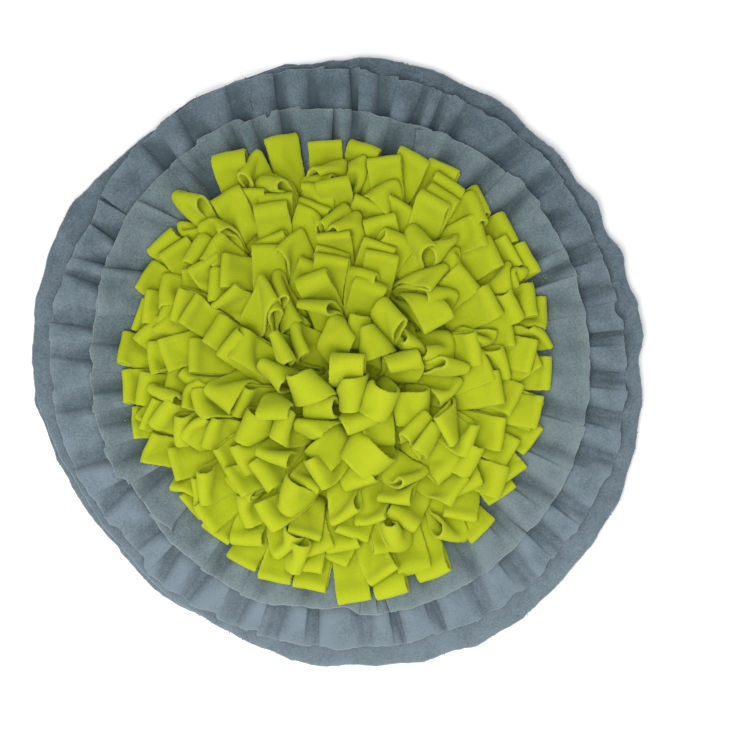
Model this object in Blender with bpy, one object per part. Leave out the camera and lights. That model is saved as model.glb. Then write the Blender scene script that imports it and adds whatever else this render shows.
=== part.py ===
"""Snuffle mat: two fleece rounds, two pleated ruffles and thirteen rings of folded loops.

Metres, +Z up, the underside of the lower round on z = 0, the mat's middle on the Z axis.
"""
import math
import random

import bpy
import bmesh
from mathutils import Vector

MM = 0.001

# ------------------------------------------------------------------ driving sizes (mm)
FLEECE = 2.0                # thickness of a base round
PLY_GAP = 0.3               # air left between two pieces
RUFFLE_FLEECE = 1.8         # thickness of the ruffle strips
RUFFLE_WIDTH = 50.0         # sewn edge to free edge
OUTER_SEAM = 166.0          # radius of the outer ruffle's sewn edge
INNER_SEAM = 136.0          # radius of the inner ruffle's sewn edge
INNER_LIFT = 3.2            # how far the inner ruffle rides up over the outer one
STRIP_WIDTH = 24.5          # a loop's cut width
LOOP_HALF = 1.5             # half the thickness of a folded loop
LOOP_SLIT = 0.4             # half the hollow between its two layers
ROOT_HALF = 2.0             # half the width of the sewn strip under a ring of loops
ROOT_SLIT = 0.3             # half the gap between the two roots of a loop
RISE_LENGTH = 13.0          # length of the part of a loop that stands up from its root
LOOP_LENGTH = 42.0          # root to fold, along the loop
BACKING = 1.6               # thickness of the sewn strip
COLUMNS = 60                # sides of the base rounds

LOWER_BOTTOM = 0.0
UPPER_BOTTOM = LOWER_BOTTOM + FLEECE + PLY_GAP
DECK = UPPER_BOTTOM + FLEECE + PLY_GAP      # everything sewn on starts at this height
LOOP_ROOT_Z = DECK + BACKING

# ------------------------------------------------------------------ tables
# Base rims: angle (deg), lower radius, upper radius, lift of the upper rim (mm)
BASE_RIM = [
    (0, 226, 228, 2.0),
    (6, 226, 231, 4.0),
    (14, 225, 228, 1.0),
    (21, 226, 231, 4.5),
    (27, 225, 227, 1.0),
    (33, 226, 231, 4.5),
    (40, 224, 227, 1.5),
    (46, 225, 229, 3.5),
    (51, 225, 228, 1.5),
    (57, 226, 231, 2.5),
    (70, 228, 231, 1.0),
    (84, 229, 232, 1.5),
    (95, 227, 228, 0.5),
    (102, 229, 227, 0.0),
    (112, 227, 225, 0.0),
    (130, 222, 224, 0.0),
    (143, 225, 228, 0.0),
    (160, 230, 233, 1.0),
    (176, 229, 231, 1.0),
    (186, 229, 227, 0.5),
    (198, 225, 220, 0.5),
    (210, 220, 217, 0.5),
    (225, 213, 217, 0.5),
    (240, 212, 216, 0.5),
    (252, 216, 220, 1.0),
    (265, 223, 228, 2.0),
    (275, 225, 229, 1.0),
    (290, 230, 234, 1.0),
    (300, 232, 236, 1.5),
    (315, 232, 237, 1.0),
    (330, 231, 235, 1.5),
    (343, 229, 234, 1.0),
    (352, 227, 230, 0.5),
]

# Outer ruffle pleats: angle of the crease (deg), reach of the free edge, height of the fold (mm)
OUTER_PLEATS = [
    (7, 215, 7), (16, 215, 6), (25, 215, 7), (35, 216, 5), (43, 218, 4), (52, 219, 6),
    (63.5, 218, 5), (68.5, 219, 5), (72.5, 219, 6), (80.5, 218, 6), (88, 221, 8), (95.5, 222, 6),
    (103.3, 222, 8), (111.8, 223, 7), (122, 222, 7), (131, 221, 7), (140, 221, 5), (145.3, 219, 8),
    (152, 215, 8), (161, 217, 5), (171, 218, 6), (179, 216, 4), (189.5, 215, 5), (201.5, 214, 6),
    (210.5, 210, 6), (222.4, 207, 5), (229.5, 212, 5), (237, 212, 6), (248, 213, 8), (256.8, 213, 6),
    (266.4, 216, 8), (276, 215, 6), (284, 217, 7), (292.7, 217, 7), (302, 220, 6), (312, 220, 6),
    (321, 219, 6), (329.3, 219, 6), (341, 221, 6), (349.5, 218, 6), (357.5, 218, 5),
]

# Inner ruffle pleats: angle of the crease (deg), reach of the free edge, height of the fold (mm)
INNER_PLEATS = [
    (4, 188, 3), (14, 188, 3), (23.3, 189, 6), (32, 191, 3), (42.3, 193, 5), (52.2, 191, 5),
    (63, 189, 3), (71.5, 185, 7), (77, 189, 4), (86, 190, 5), (91.5, 190, 8), (103, 194, 6),
    (108.5, 193, 4), (115, 196, 6), (126.5, 195, 6), (135.8, 194, 6), (141, 193, 7), (150, 192, 3),
    (158.5, 188, 5), (168.5, 184, 7), (174.7, 184, 5), (186.3, 185, 5), (194.3, 186, 4),
    (203.8, 186, 4), (213, 180, 5), (225.5, 179, 7), (240.2, 185, 6), (251, 188, 3), (263, 185, 2),
    (275.3, 186, 7), (281.5, 189, 7), (292, 191, 3), (305.5, 191, 5), (317, 191, 5),
    (328.7, 192, 5), (339, 191, 4), (349.5, 190, 4),
]

# Loop rings: root radius (mm), loops, angle of the first loop (deg), rise and lean of the loop
# above the level (deg), half thickness at the fold (mm)
LOOP_RINGS = [
    (126.0, 30, 3.0, 55, 1, 2.3),
    (116.5, 28, 9.0, 70, 12, 2.5),
    (107.0, 25, 2.0, 71, 24, 1.9),
    (97.5, 23, 6.0, 72, 27, 1.8),
    (88.0, 21, 1.0, 73, 29, 1.8),
    (78.5, 19, 8.0, 74, 31, 1.9),
    (69.0, 16, 3.0, 75, 34, 2.0),
    (59.5, 14, 12.0, 76, 38, 2.2),
    (50.0, 12, 5.0, 77, 43, 2.4),
    (40.5, 9, 14.0, 78, 50, 2.6),
    (31.0, 7, 4.0, 80, 58, 2.8),
    (21.0, 5, 20.0, 84, 68, 2.8),
    (10.0, 3, 40.0, 88, 80, 2.8),
]

# Reach of the outermost ring's folds: angle (deg), radius (mm)
RIM_REACH = [
    (0, 161), (30, 169), (50, 168), (80, 164), (100, 172), (120, 178), (138, 158), (146, 160),
    (160, 160), (170, 155), (180, 165), (200, 159), (220, 160), (240, 163), (255, 171), (270, 171),
    (282, 178), (293, 178), (305, 170), (320, 162), (335, 164), (350, 159),
]

# Shears that comb the loops one way and another: heading (deg), wavelength, throw (mm), phase
COMBING = [
    (20, 129.0, 4.0, 0.4),
    (84, 109.0, 3.6, 2.1),
    (141, 92.0, 3.0, 4.0),
    (52, 80.0, 2.2, 1.2),
]
SWIRL = -2.2                # turn of the folds about the middle (deg)
COMB_HEIGHT = 11.0          # height over which the combing comes in (mm)

LIME = (0.38, 0.47, 0.022)
SLATE = (0.155, 0.200, 0.222)


# ------------------------------------------------------------------ helpers
def smooth(value):
    """Ease from 0 to 1."""
    value = min(1.0, max(0.0, value))
    return value * value * (3.0 - 2.0 * value)


def around(table, angle, column):
    """Value of a column at an angle, eased between the rows of a closed table."""
    angle %= 360.0
    for index, row in enumerate(table):
        following = table[(index + 1) % len(table)]
        start = row[0]
        span = (following[0] - start) % 360.0
        step = (angle - start) % 360.0
        if step < span:
            part = smooth(step / span)
            return row[column] * (1.0 - part) + following[column] * part
    return table[0][column]


def polar(radius, angle, height):
    """Point from radius (mm), angle (deg) and height (mm)."""
    turn = math.radians(angle)
    return Vector((radius * math.cos(turn), radius * math.sin(turn), height))


def comb(point):
    """Slide a point level with the floor, more the higher it stands."""
    share = smooth((point.z - LOOP_ROOT_Z) / COMB_HEIGHT)
    x, y = point.x, point.y
    for heading, length, throw, phase in COMBING:
        turn = math.radians(heading)
        along = x * math.cos(turn) + y * math.sin(turn)
        slide = throw * share * math.sin(2.0 * math.pi * along / length + phase)
        x -= slide * math.sin(turn)
        y += slide * math.cos(turn)
    turn = math.radians(SWIRL * share)
    return Vector((
        x * math.cos(turn) - y * math.sin(turn),
        x * math.sin(turn) + y * math.cos(turn),
        point.z,
    ))


def material(name, colour, roughness):
    """A plain fleece material."""
    made = bpy.data.materials.new(name)
    made.use_nodes = True
    shader = made.node_tree.nodes["Principled BSDF"]
    shader.inputs["Base Color"].default_value = (*colour, 1.0)
    shader.inputs["Roughness"].default_value = roughness
    return made


def finish_mesh(name, points, faces, home, look):
    """Make a closed mesh object from points in mm."""
    mesh = bpy.data.meshes.new(name)
    mesh.from_pydata([tuple((point - CENTRE) * MM) for point in points], [], faces)
    work = bmesh.new()
    work.from_mesh(mesh)
    bmesh.ops.recalc_face_normals(work, faces=work.faces)
    work.to_mesh(mesh)
    work.free()
    mesh.materials.append(look)
    made = bpy.data.objects.new(name, mesh)
    home.objects.link(made)
    return made


def middle_of_rim():
    """Middle of the box around both base rounds, so that the mat is centred on the origin."""
    xs = []
    ys = []
    for index in range(COLUMNS):
        angle = 360.0 * index / COLUMNS
        for column in (1, 2):
            rim = polar(around(BASE_RIM, angle, column), angle, 0.0)
            xs.append(rim.x)
            ys.append(rim.y)
    return Vector(((min(xs) + max(xs)) / 2.0, (min(ys) + max(ys)) / 2.0, 0.0))


# ------------------------------------------------------------------ the base rounds
def base_round(name, column, bottom, lifted, home, look):
    """A round of fleece; a lifted one waves up over its last few millimetres."""
    points = []
    for level in (bottom, bottom + FLEECE):
        for index in range(COLUMNS):
            angle = 360.0 * index / COLUMNS
            rim = around(BASE_RIM, angle, column)
            points.append(polar(rim - 8.0, angle, level))
        for index in range(COLUMNS):
            angle = 360.0 * index / COLUMNS
            rim = around(BASE_RIM, angle, column)
            lift = around(BASE_RIM, angle, 3) if lifted else 0.0
            points.append(polar(rim, angle, level + lift))
    low_ring, low_rim, high_ring, high_rim = (COLUMNS * step for step in range(4))
    faces = [
        [low_ring + index for index in reversed(range(COLUMNS))],
        [high_ring + index for index in range(COLUMNS)],
    ]
    for index in range(COLUMNS):
        after = (index + 1) % COLUMNS
        faces.append((low_ring + index, low_ring + after, low_rim + after, low_rim + index))
        faces.append((high_ring + after, high_ring + index, high_rim + index, high_rim + after))
        faces.append((low_rim + index, low_rim + after, high_rim + after, high_rim + index))
    return finish_mesh(name, points, faces, home, look)


# ------------------------------------------------------------------ the ruffles
def pleat_columns(pleats):
    """Angles, reach and share of the fold height at which a ruffle is cut, pleat by pleat."""
    columns = []
    for index, (crease, reach, height) in enumerate(pleats):
        following = pleats[(index + 1) % len(pleats)]
        span = (following[0] - crease) % 360.0
        columns.append((crease - 0.7, reach - 0.8, 0.15 * height))
        columns.append((crease + 0.7, reach, height))
        middle = reach * 0.55 + following[1] * 0.45
        columns.append((crease + 0.45 * span, middle, 0.62 * height))
    return columns


def ruffle(name, pleats, seam, lift, home, look):
    """A pleated strip: flat where it is sewn, folded up more and more towards its free edge."""
    columns = pleat_columns(pleats)
    points = []
    for side in (0.0, RUFFLE_FLEECE):
        for share in (0.0, 0.5, 1.0):
            for angle, reach, height in columns:
                radius = seam + (reach - seam) * share
                ride = lift * smooth((radius - seam - 8.0) / 14.0)
                fold = height * (0.15 * share + 0.85 * share ** 3)
                points.append(polar(radius, angle, DECK + ride + fold + side))
    count = len(columns)
    faces = []
    for index in range(count):
        after = (index + 1) % count
        for line in (0, 1):
            low = line * count
            high = (line + 3) * count
            faces.append((low + index, low + count + index, low + count + after, low + after))
            faces.append((high + after, high + count + after, high + count + index, high + index))
        faces.append((index, after, 3 * count + after, 3 * count + index))
        faces.append((2 * count + after, 2 * count + index, 5 * count + index, 5 * count + after))
    return finish_mesh(name, points, faces, home, look)


# ------------------------------------------------------------------ the loops
def loop_outline(rise, lean, length, tip_half):
    """Outer and inner outline of a folded loop as (out, up) pairs from the middle of its root."""
    first = Vector((math.cos(math.radians(rise)), math.sin(math.radians(rise))))
    second = Vector((math.cos(math.radians(lean)), math.sin(math.radians(lean))))
    bend = first * RISE_LENGTH
    tip = bend + second * (length - RISE_LENGTH)
    across = Vector((-second.y, second.x))
    mitre = Vector((-first.y - second.y, first.x + second.x)).normalized()
    stretch = 1.0 / math.cos(math.radians(rise - lean) / 2.0)
    back = tip - second * 1.7
    tip_slit = tip_half - (LOOP_HALF - LOOP_SLIT)
    outer = [
        Vector((-ROOT_HALF, 0.0)),
        bend + mitre * LOOP_HALF * stretch,
        tip + across * tip_half * 0.8,
        tip - across * tip_half * 0.8,
        bend - mitre * LOOP_HALF * stretch,
        Vector((ROOT_HALF, 0.0)),
    ]
    inner = [
        Vector((-ROOT_SLIT, 0.0)),
        bend + mitre * LOOP_SLIT * stretch,
        back + across * tip_slit,
        back - across * tip_slit,
        bend - mitre * LOOP_SLIT * stretch,
        Vector((ROOT_SLIT, 0.0)),
    ]
    return outer, inner


def loop_ring(name, row, rng, home, look):
    """One ring of folded loops standing on the narrow strip that they are sewn to."""
    radius, count, start, rise, lean, tip_half = row
    outermost = row is LOOP_RINGS[0]
    points = []
    faces = []
    for index in range(count):
        angle = start + 360.0 * index / count
        out = polar(1.0, angle, 0.0)
        side = polar(1.0, angle + 90.0, 0.0)
        length = LOOP_LENGTH + rng.uniform(-3.0, 3.0)
        if outermost:
            length = around(RIM_REACH, angle, 1) - radius + 4.6 + rng.uniform(-2.0, 2.0)
        outer, inner = loop_outline(rise, lean, length, tip_half)
        for half in (-0.5, 0.5):
            for pair in outer + inner:
                place = out * (radius + pair.x) + side * (half * STRIP_WIDTH)
                place.z = LOOP_ROOT_Z + pair.y
                points.append(comb(place))
            for step in (-ROOT_HALF, ROOT_HALF):
                place = out * (radius + step) + side * (half * STRIP_WIDTH)
                place.z = DECK
                points.append(place)
    each = 28
    for index in range(count):
        near = index * each
        far = near + 14
        following = ((index + 1) % count) * each
        for step in range(5):
            for line in (step, step + 6):
                low = near + line
                high = far + line
                if step < 3:
                    faces.append((low, low + 1, high + 1))
                    faces.append((low, high + 1, high))
                else:
                    faces.append((low, low + 1, high))
                    faces.append((low + 1, high + 1, high))
            faces.append((near + step, near + 6 + step, near + 7 + step, near + step + 1))
            faces.append((far + step + 1, far + 7 + step, far + 6 + step, far + step))
        faces.append((near + 6, far + 6, far + 11, near + 11))
        faces.append((near, far, far + 12, near + 12))
        faces.append((far + 5, near + 5, near + 13, far + 13))
        faces.append((near + 12, far + 12, far + 13, near + 13))
        faces.append((far, following, following + 6, far + 6))
        faces.append((far + 6, following + 6, following + 11, far + 11))
        faces.append((far + 11, following + 11, following + 5, far + 5))
        faces.append((following, far, far + 12, following + 12))
        faces.append((far + 5, following + 5, following + 13, far + 13))
        faces.append((far + 12, far + 13, following + 13, following + 12))
    return finish_mesh(name, points, faces, home, look)


# ------------------------------------------------------------------ the mat
def main():
    """Build every piece of the mat."""
    home = bpy.data.collections.new("snuffle_mat")
    bpy.context.scene.collection.children.link(home)
    slate = material("grey_fleece", SLATE, 0.95)
    pleated = material("grey_ruffle_fleece", tuple(value * 1.12 for value in SLATE), 0.95)
    lime = material("lime_fleece", LIME, 0.9)
    rng = random.Random(11)
    base_round("base_lower", 1, LOWER_BOTTOM, False, home, slate)
    base_round("base_upper", 2, UPPER_BOTTOM, True, home, slate)
    ruffle("ruffle_outer", OUTER_PLEATS, OUTER_SEAM, 0.0, home, pleated)
    ruffle("ruffle_inner", INNER_PLEATS, INNER_SEAM, INNER_LIFT, home, pleated)
    for number, row in enumerate(LOOP_RINGS, start=1):
        loop_ring(f"loop_ring_{number:02d}", row, rng, home, lime)


for stale in list(bpy.data.objects):
    bpy.data.objects.remove(stale, do_unlink=True)
CENTRE = middle_of_rim()
main()
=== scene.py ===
"""Looks of the snuffle mat: cloth rounds, pleated ruffles and a settled pile of folded loops."""
import math

import bpy
import numpy as np
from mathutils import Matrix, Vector


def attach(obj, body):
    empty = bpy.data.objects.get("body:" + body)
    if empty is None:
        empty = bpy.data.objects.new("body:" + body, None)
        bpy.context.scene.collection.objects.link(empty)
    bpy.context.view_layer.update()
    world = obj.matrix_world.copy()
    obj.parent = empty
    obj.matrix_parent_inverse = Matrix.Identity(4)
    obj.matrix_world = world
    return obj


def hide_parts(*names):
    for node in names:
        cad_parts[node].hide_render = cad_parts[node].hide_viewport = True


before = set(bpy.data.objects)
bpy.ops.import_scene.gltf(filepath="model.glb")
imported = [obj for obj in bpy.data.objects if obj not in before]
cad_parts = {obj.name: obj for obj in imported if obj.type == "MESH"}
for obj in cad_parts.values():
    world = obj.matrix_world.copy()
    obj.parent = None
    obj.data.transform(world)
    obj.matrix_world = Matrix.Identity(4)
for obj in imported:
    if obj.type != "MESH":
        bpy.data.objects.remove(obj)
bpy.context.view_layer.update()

MM = 0.001
SEED = 77
STEPS = 180

# ------------------------------------------------------------------ sizes (mm, unless it says otherwise)
DECK = 4.6                  # underside of what is sewn on, 0.3 mm over the upper round
GROUND = DECK + 1.6         # where the loops start, just over the sewn bands
UPPER_BOTTOM = 2.3          # underside of the upper round
HALF_ROUND = 1.0            # half the thickness of a base round
HALF_RUFFLE = 0.8           # half the thickness of a ruffle
HALF_STRIP = 1.15           # half the thickness of a lime strip
HALF_BAND = 0.6             # half the thickness of the band under a ring of loops
BAND_GAP = 0.15             # half the gap between two bands
BAND_EDGE = 5.0             # how far the outermost band goes past its ring
BAND_HEIGHT = DECK + 0.75   # height of the middle of a band
BAND_HOLE = 1.0             # radius of the hole in the innermost band
OUTER_SEAM = 166.0          # radius of the outer ruffle's sewn edge
INNER_SEAM = 136.0          # radius of the inner ruffle's sewn edge

# strips of the loops
STRIP = 25.0                # width of a lime strip
ALONG = 36                  # particles along a strip
ACROSS = 10                 # particles across a strip
PITCH = 2.5                 # spacing of the particles along a strip
BOW = 2.2                   # half the width of a loop that stands upright
GATHER = 0.8                # share of its width that a strip has at the seam
GATHER_ROWS = 7.0           # particles from the seam to its full width
UNEVEN = 0.05               # how far the particles start from their places
JITTER = 2.4                # how far the roots stray from their rings
RIM_JITTER = 0.8            # and those of the outermost ring
YAW = 42.0                  # how far the roots are turned (deg)
YAW_MEAN = -4.0             # middle of those turns (deg)
MOST_YAW = 65.0             # no root is turned further (deg)
RIM_YAW = 5.0               # stray turn of a root in the outermost ring (deg)
SHORT = 0.88                # length of the shortest loops, as a share of the usual one
LONG = 1.18                 # and of the longest
TALL = 0.04                 # how much longer the loops towards the middle are, as a share
RIM_USUAL = 168.0           # reach of a loop of the outermost ring with the usual length
RIM_GAIN = 40.0             # reach beyond that for which a loop is made twice as long
NEXT_USUAL = 165.0          # reach of the rim where the next ring's loops have their usual length

# what lays the loops
TOUCH = 2.55                # particles of two layers are pushed apart below this distance
NEAR = TOUCH + 1.0          # pairs up to this distance are watched
START = 0.35                # share of its width that a strip starts with
GROWING = 0.3               # share of the steps in which it grows to its full width
BEND = 0.9                  # stiffness of a strip over 5 mm
BEND_FAR = 0.4              # stiffness of a strip over 10 mm
CREASE = 0.6                # most of its stiffness that a loop keeps at its fold, as a share
WEIGHT = 0.032              # pull of the comb and of gravity in each step
EARLY_WEIGHT = 0.35         # share of that pull at the first step
PUSH = 1.15                 # how hard the loops are combed outward, compared with gravity
TWIST = 0.25                # how unevenly a strip is pushed across its width
DRIFT = 45.0                # spread of the direction in which the loops are combed (deg)
MIDDLE_DRIFT = 60.0         # more of that spread right at the parting (deg)
MIDDLE = 60.0               # how far from the parting it reaches
SWIRL = -8.0                # turn of that direction for all the loops (deg)
RIM_DRIFT = 6.0             # its spread in the outermost ring (deg)
RIM_SWIRL = -2.0            # and its turn there (deg)
DAMPING = 0.93              # share of its speed that a particle keeps in each step
FASTEST = 0.55              # no particle moves further in one step
ROUNDS = 4                  # corrections of the distances in each step
FIRM_SLANT = 0.5            # how firmly a strip keeps its diagonals
FIRM_WIDTH = 0.6            # how firmly it stays flat across
FIRM_TOUCH = 0.4            # how firmly two layers are pushed apart
MOST_TOUCH = 1.0            # a particle is pushed no further at once
CLEAR_GROUND = 1.0          # the middle of a strip stays this far over the ground
PARTING = (18.0, -22.0)     # the point the loops are combed away from
SMOOTHING = 1               # how often the settled strips are smoothed

# ruffles
RIDE_SEAM = 7.5             # how high the gathers ride past the seam
RIDE_EDGE = 5.0             # and at the free edge
DEEP = 1.7                  # depth of the creases, as a share of their tables
WRINKLE = 0.32              # height of each of the loose waves in a ruffle
SWAY = 0.16                 # and how far each one moves the free edge in and out
WAVES = 9                   # how many loose waves there are
RUFFLE_LINES = 15           # lines from the seam of a ruffle to its free edge
FOLD_ROOM = 9.0             # creases closer than this have narrower folds (deg)
EDGE_DEPTH = 0.34           # share of its depth that a crease of usual depth keeps at the free edge
EDGE_GAIN = 0.09            # more of that share for each mm beyond the usual depth
USUAL_DEPTH = 3.0           # the usual depth of a crease
INNER_RISE = 2.5            # how much further the inner ruffle rises to its free edge
LAP = 7.0                   # the end of a strip is lifted over this distance (deg)
OVER_CLOTH = 1.9            # the middle of the inner ruffle stays this far over the outer one
FOLLOW = 0.8                # share of the broad swells below that the inner ruffle follows

# rounds
LIFTED_RIM = 14.0           # the upper round's rim lifts over this distance
RIM_WAVES = (9, 16, 23, 37)   # numbers of small waves around a cut edge
WAVE_OUT = 0.35             # how far each goes out
WAVE_UP = 0.18              # how far each lifts the upper round

# map of heights of the ruffles, in rows of 1 mm and columns of half a degree
MAP_START = 120.0           # radius of its first row
MAP_ROWS = 125
MAP_LAST = 123.999          # last place between two rows
MAP_COLUMNS = 720
PER_DEGREE = 2.0

# cut edges of cloth
PINCH = 0.72                # thickness at a cut edge, as a share
BULGE = 0.3                 # how far the rim stands out past it, as a share of half the thickness
EDGE_LINE = 0.5             # distance of the line of points next to a cut edge

# ------------------------------------------------------------------ colours
PATCHY = 0.55               # how strongly broad patches of nap show
PAINTED_SHADE_PER_MM = 0.04                 # painted light and shade: tint for each mm that a crest stands above the cloth around it, paler on crests and darker in hollows
LIME_DARK = (0.325, 0.386, 0.009)
LIME_LIGHT = (0.400, 0.467, 0.013)
LIME_PALE = (0.62, 0.68, 0.16)
GREY_DARK = (0.058, 0.085, 0.102)
GREY_LIGHT = (0.165, 0.216, 0.250)
GREY_PALE = (0.50, 0.56, 0.60)
WARM_DARK = (0.063, 0.091, 0.099)
WARM_LIGHT = (0.168, 0.220, 0.232)

# ------------------------------------------------------------------ tables
# ring radius (mm), loops (as many as in the CAD ring), angle of the first loop (deg)
RINGS = [
    (128.0, 30, 3.0), (120.5, 28, 9.5), (111.5, 25, 2.0), (102.0, 23, 8.0), (92.0, 21, 1.0),
    (82.0, 19, 10.0), (72.0, 16, 3.0), (62.0, 14, 15.0), (52.0, 12, 5.0), (42.0, 9, 24.0),
    (31.0, 7, 4.0), (20.0, 5, 30.0), (8.0, 3, 40.0),
]
# reach of the lime rim: angle (deg), radius (mm); read off the photo
RIM_REACH = [
    (0, 161), (30, 169), (50, 168), (80, 164), (100, 172), (120, 178), (138, 158), (146, 160),
    (160, 160), (170, 155), (180, 165), (200, 159), (220, 160), (240, 163), (255, 171), (270, 171),
    (282, 178), (293, 178), (305, 170), (320, 162), (335, 164), (350, 159),
]
# loops of the outermost ring: angle (deg), reach of the tip (mm), turn of the loop (deg); read off
# the photo
RIM_LOOPS = [
    (357.5, 161, 0), (13, 163, -20), (28.5, 169, 0), (40, 166, -20), (51, 167, -15), (61, 171, 0),
    (71, 169, -15), (83, 166, -15), (92.5, 167, 0), (105, 175, -5), (119, 182, -5), (133, 178, 70),
    (147, 164, -20), (157, 162, -10), (166, 158, -20), (178, 164, 0), (188, 164, 0), (198, 160, -25),
    (210, 163, -60), (225, 158, 0), (235, 161, 0), (245, 168, 0), (254, 172, 0), (264, 172, 0),
    (274, 180, 0), (284, 183, -10), (296, 178, -15), (310, 168, 5), (325, 162, -20), (341, 160, -20),
]
# cut edges of the rounds: angle (deg), lower radius, upper radius, lift of the upper rim (mm). The
# radii follow an outline that a program measured in the photo
BASE_RIM = [
    (0, 225.5, 227.5, 2.0), (6, 226, 231.6, 4.0), (10.5, 226, 230.3, 2.5), (15, 225, 227.5, 1.0),
    (21, 226, 229.9, 4.5), (26, 223, 225.2, 1.0), (32, 226, 229.2, 4.5), (37, 224, 226.6, 1.5),
    (45.5, 225, 229.4, 3.5), (51, 225, 228.4, 1.5), (57, 226, 231.6, 2.5), (63, 227, 230.8, 1.2),
    (69, 228, 231.6, 1.0), (79, 228, 231.8, 1.2), (84.5, 229, 232, 1.5), (90, 227, 228.6, 1.0),
    (96, 227, 228.2, 0.5), (99.5, 229.7, 227, 0.0), (105, 227.2, 225.5, 0.0), (112, 226.6, 224.5, 0.0),
    (117, 227.5, 224, 0.0), (123, 226.3, 224, 0.0), (127, 225.2, 224, 0.0), (133, 224, 226, 0.0),
    (139, 225, 227.5, 0.0), (144, 228, 230.5, 0.0), (150, 230, 233.3, 0.5), (158, 231, 234, 1.0),
    (165, 230, 232.8, 1.0), (177, 228.5, 231.4, 1.0), (183, 228.5, 230.5, 0.8), (187, 230.9, 228.5, 0.5),
    (192, 227.1, 224.5, 0.5), (198, 224.8, 221, 0.5), (204, 222.8, 218.5, 0.5), (210, 220.7, 216.5, 0.5),
    (219, 217.8, 214.5, 0.5), (222, 219.2, 215.5, 0.5), (228, 218.9, 216, 0.5), (232, 219.9, 217.5, 0.5),
    (240, 218.5, 217, 0.5), (246, 217, 218.5, 0.5), (253, 219, 223.2, 1.0), (257, 219, 223, 1.0),
    (262, 223, 227, 1.5), (268, 225, 229.6, 2.0), (273.5, 225, 227.9, 1.0), (279, 227, 230.5, 1.0),
    (287, 231, 234.6, 1.0), (291, 231, 234.3, 1.0), (297, 233, 238.5, 1.2), (303, 233, 236.9, 1.5),
    (312, 232, 236, 1.0), (324, 231.5, 235, 1.2), (333, 232, 236.5, 1.5), (342, 230, 233.5, 1.0),
    (351, 228, 231, 0.7), (356, 226.5, 229, 0.8),
]
# outer ruffle: angle of the crease at the free edge (deg), its reach, depth of the crease, overlap of
# the fold (mm), how far the crease slants towards the seam (deg); read off the photo
OUTER = [
    (7, 215, 7, 4, 0.3), (16, 215, 5, 2, 0.3), (25.2, 215, 7, 3, -0.4), (33.5, 216, 4, 0, 2.5),
    (42, 219, 4, 0, 1.0), (51, 219, 6, 0, 2.5), (63.5, 218, 4, 0, 0), (68.5, 219, 4, 0, 0),
    (72, 220, 6, 1.5, 0.4), (81.5, 219, 6, 1.5, -2), (88.2, 222, 9, 4, -1.6), (95.3, 223, 5, 1.5, 0.5),
    (103, 223, 8, 4, 1.6), (111.5, 224, 7, 3, 1), (122, 224, 7, 2.5, 0.5), (131.2, 222, 7, 3, -1.2),
    (140.8, 222, 4, 1.5, 0.5), (151, 214, 8, 4, 1.6), (158, 216, 3, 0, -2), (161, 217, 6, 2, 0),
    (171.3, 218, 6, 2, 0), (178, 216, 5, 1, 1), (189.3, 215, 5, 1.5, 0), (201.3, 214, 7, 2, 0.5),
    (212.5, 210, 6, 1, -4), (222.3, 210, 5, 1.5, 0.5), (231, 213, 5, 0, -2.5), (237, 212, 7, 2, 1),
    (248.2, 213, 9, 2, 0), (256.8, 213, 6, 2, 0), (266.6, 216, 8, 4, -0.8), (276.3, 215, 6, 3, 0.8),
    (284.2, 217, 7, 4, 0), (292.8, 218, 7, 4, 0.3), (301.5, 220, 6, 1.5, 2), (312.2, 221, 7, 3, 0.2),
    (321, 219, 7, 3, 0.3), (329.3, 220, 7, 3, -0.3), (341, 221, 7, 3, -0.3), (349.6, 218, 6, 3, -0.2),
    (357.3, 218, 6, 3, 0.3),
]
# bits of lime nap on the inner ruffle: angle (deg), distance from the middle (mm), how many. Most
# of the angles come from a program's list of lime spots in the photo
LINT = [
    (6, 182, 4), (23, 168, 5), (114, 180, 2), (127, 165, 3), (153, 172, 4), (195, 164, 3), (218, 163, 3),
    (262, 178, 1), (306, 171, 2), (321, 167, 2),
]
# inner ruffle: the same columns as the outer one
INNER = [
    (5, 188, 2, 0, 0), (15, 188, 3, 0, 1.5), (23.5, 190, 6, 3, -0.8), (29, 190, 3, 0, 0),
    (42.3, 193, 6, 3, 0), (52.2, 190, 5, 2.5, 0), (63, 189, 3, 0, 0), (77, 189, 5, 1, 0),
    (86.3, 190, 6, 1.5, -0.8), (91.3, 190, 9, 4, 1.8), (102.5, 194, 7, 2, 1.0), (109, 193, 4, 0, 0),
    (115.3, 197, 6, 2, 0), (126.7, 195, 7, 3, -1.0), (135.9, 194, 7, 3, 0), (157.5, 189, 5, 0, -6),
    (162, 187, 3, 1, 0), (174.7, 184, 5, 1, 0), (186.4, 185, 5, 2, 0), (194.6, 187, 4, 0, -0.5),
    (204, 186, 4, 0, 0), (214, 180, 6, 0, -4), (231, 183, 3, 0, -1.5), (240.3, 186, 6, 2, 0.3),
    (251, 188, 2, 0, 0), (263, 184, 2, 0, 0), (282.3, 191, 8, 4, -2.5), (292, 191, 2, 0, 0),
    (304, 191, 5, 1, 1.5), (317.3, 191, 6, 2, -0.8), (328.7, 192, 5, 2, -0.5), (339, 192, 4, 0, 0),
    (349.5, 190, 4, 0, 0),
]
# strips of each ruffle: first and last angle at the free edge (deg), slant of each end (deg), how
# high each end lies over its neighbour (mm)
OUTER_STRIPS = [(145.6, 504.4, -1.0, 0.4, 1.8, 0.0)]
INNER_STRIPS = [
    (141.5, 168.6, -5.0, -4.0, 3.0, 2.4),
    (165.0, 226.0, 0.0, -12.0, 0.0, 2.4),
    (219.0, 279.0, 0.0, 0.0, 0.0, 0.0),
    (275.2, 431.4, 2.0, -4.0, 2.6, 2.4),
    (68.0, 146.0, 0.0, 0.0, 0.0, 0.0),
]
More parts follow.
